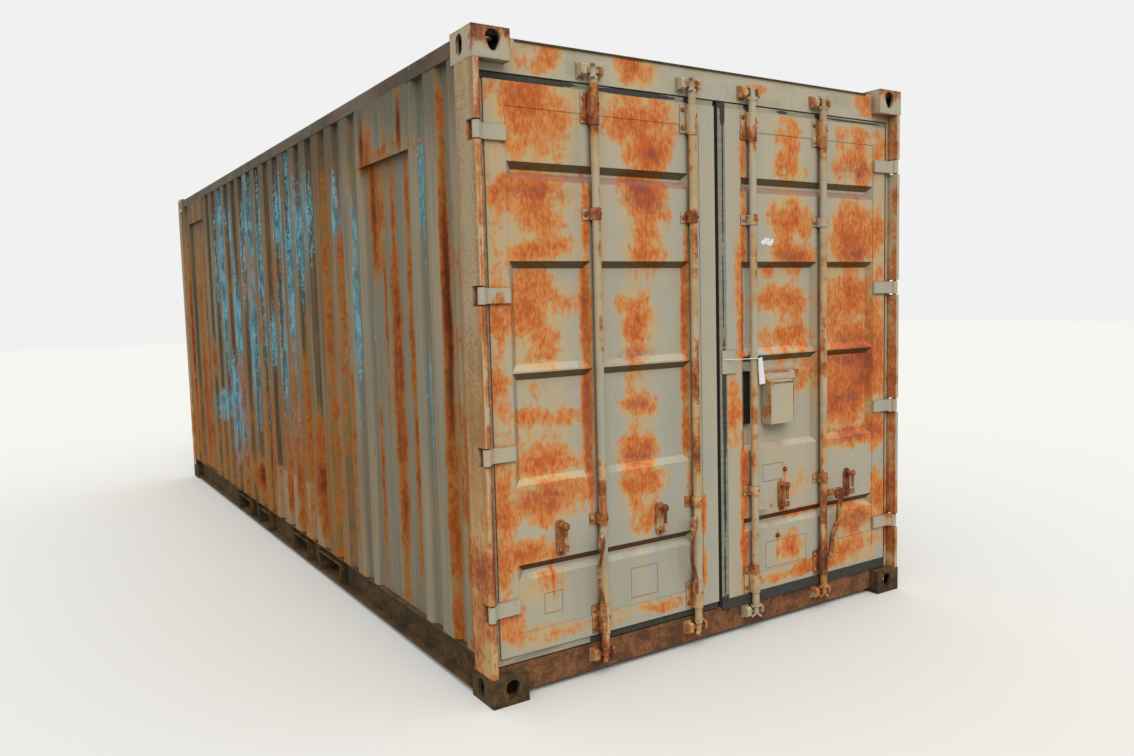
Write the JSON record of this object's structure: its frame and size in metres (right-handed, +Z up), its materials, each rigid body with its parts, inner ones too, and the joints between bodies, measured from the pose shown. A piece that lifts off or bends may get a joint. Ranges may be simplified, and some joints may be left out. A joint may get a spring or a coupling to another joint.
{
  "type": "shipping container",
  "caption": "Steel freight container with corrugated walls, corner fittings, fork pockets and hinged end doors locked by turning rods with drop handles.",
  "frame": {"origin": "middle of the base, on the plane of the bottom corner fittings' undersides", "axes": "+X along the length towards the doors, +Y to the right when facing the doors, +Z up"},
  "size_m": [6.1235, 2.438, 2.591],
  "materials": {
    "grey_paint": "chalky old paint with rust runs",
    "worn_grey_steel": "worn dark paint",
    "rusted_steel": "rusted",
    "dark_rusted_steel": "dark rust",
    "rubber": "matt, weathered",
    "plywood": "worn boards"
  },
  "bodies": {
    "box": {"corner_fittings_top": "worn_grey_steel", "corner_fittings_bottom": "rusted_steel", "rear_posts": "grey_paint", "hinge_pins": "dark_rusted_steel", "front_posts": "grey_paint", "top_side_rails": "worn_grey_steel", "bottom_side_rails": "dark_rusted_steel", "front_top_rail": "worn_grey_steel", "front_bottom_rail": "dark_rusted_steel", "door_header": "grey_paint", "door_sill": "dark_rusted_steel", "cross_members": "dark_rusted_steel", "fork_pockets": "dark_rusted_steel", "floor_boards": "plywood", "roof_sheet": "worn_grey_steel", "side_wall_left": "grey_paint", "side_wall_right": "grey_paint", "front_wall": "grey_paint", "vent_covers": "grey_paint", "keepers_top": "rusted_steel", "keepers_bottom": "rusted_steel", "keeper_lips": "rusted_steel"},
    "left_door": {"door_left_frame": "grey_paint", "door_left_sheet": "grey_paint", "door_left_gasket": "rubber", "door_left_hinges": "grey_paint", "door_left_brackets": "rusted_steel", "door_left_retainers": "rusted_steel"},
    "right_door": {"door_right_frame": "grey_paint", "door_right_sheet": "grey_paint", "door_right_gasket": "rubber", "door_right_hinges": "grey_paint", "door_right_brackets": "rusted_steel", "door_right_retainers": "rusted_steel", "lock_box": "grey_paint", "centre_plate": "grey_paint"},
    "rod_1": {"lock_rod_1": "rusted_steel", "cam_set_1": "rusted_steel"},
    "rod_2": {"lock_rod_2": "rusted_steel", "cam_set_2": "rusted_steel"},
    "rod_3": {"lock_rod_3": "rusted_steel", "cam_set_3": "rusted_steel"},
    "rod_4": {"lock_rod_4": "rusted_steel", "cam_set_4": "rusted_steel"},
    "handle_1": {"handle_1": "rusted_steel"},
    "handle_2": {"handle_2": "rusted_steel"},
    "handle_4": {"handle_4": "rusted_steel"},
    "catch_1": {"catch_1": "rusted_steel"},
    "catch_2": {"catch_2": "rusted_steel"},
    "catch_3": {"catch_3": "rusted_steel"},
    "catch_4": {"catch_4": "rusted_steel"}
  },
  "joints": [
    {"name": "left_door_swing", "type": "hinge", "parent": "box", "child": "left_door", "pos_m": [3.011, -1.202, 1.3], "axis": [0, 0, -1], "range_deg": [0, 255]},
    {"name": "right_door_swing", "type": "hinge", "parent": "box", "child": "right_door", "pos_m": [3.011, 1.202, 1.3], "axis": [0, 0, 1], "range_deg": [0, 255]},
    {"name": "rod_1_turn", "type": "hinge", "parent": "left_door", "child": "rod_1", "pos_m": [3.007, -0.668, 1.3], "axis": [0, 0, -1], "range_deg": [-70, 50]},
    {"name": "rod_2_turn", "type": "hinge", "parent": "left_door", "child": "rod_2", "pos_m": [3.007, -0.155, 1.3], "axis": [0, 0, -1], "range_deg": [-80, 40]},
    {"name": "rod_3_turn", "type": "hinge", "parent": "right_door", "child": "rod_3", "pos_m": [3.007, 0.201, 1.3], "axis": [0, 0, 1], "range_deg": [-99, 21]},
    {"name": "rod_4_turn", "type": "hinge", "parent": "right_door", "child": "rod_4", "pos_m": [3.007, 0.668, 1.3], "axis": [0, 0, 1], "range_deg": [-99, 21]},
    {"name": "handle_1_lift", "type": "hinge", "parent": "rod_1", "child": "handle_1", "pos_m": [3.06522, -0.71685, 0.592], "axis": [-0.6428, -0.766, 0], "range_deg": [0, 100]},
    {"name": "handle_2_lift", "type": "hinge", "parent": "rod_2", "child": "handle_2", "pos_m": [3.05585, -0.21322, 0.592], "axis": [-0.766, -0.6428, 0], "range_deg": [0, 100]},
    {"name": "handle_4_lift", "type": "hinge", "parent": "rod_4", "child": "handle_4", "pos_m": [3.03424, 0.73895, 0.592], "axis": [0.9336, -0.3584, 0], "range_deg": [0, 100]},
    {"name": "catch_1_turn", "type": "hinge", "parent": "left_door", "child": "catch_1", "pos_m": [3.024, -0.864, 0.668], "axis": [-1, 0, 0], "range_deg": [-90, 0]},
    {"name": "catch_2_turn", "type": "hinge", "parent": "left_door", "child": "catch_2", "pos_m": [3.024, -0.351, 0.668], "axis": [-1, 0, 0], "range_deg": [-90, 0]},
    {"name": "catch_3_turn", "type": "hinge", "parent": "right_door", "child": "catch_3", "pos_m": [3.024, 0.397, 0.668], "axis": [1, 0, 0], "range_deg": [-90, 0]},
    {"name": "catch_4_turn", "type": "hinge", "parent": "right_door", "child": "catch_4", "pos_m": [3.024, 0.864, 0.668], "axis": [1, 0, 0], "range_deg": [-90, 0]}
  ]
}
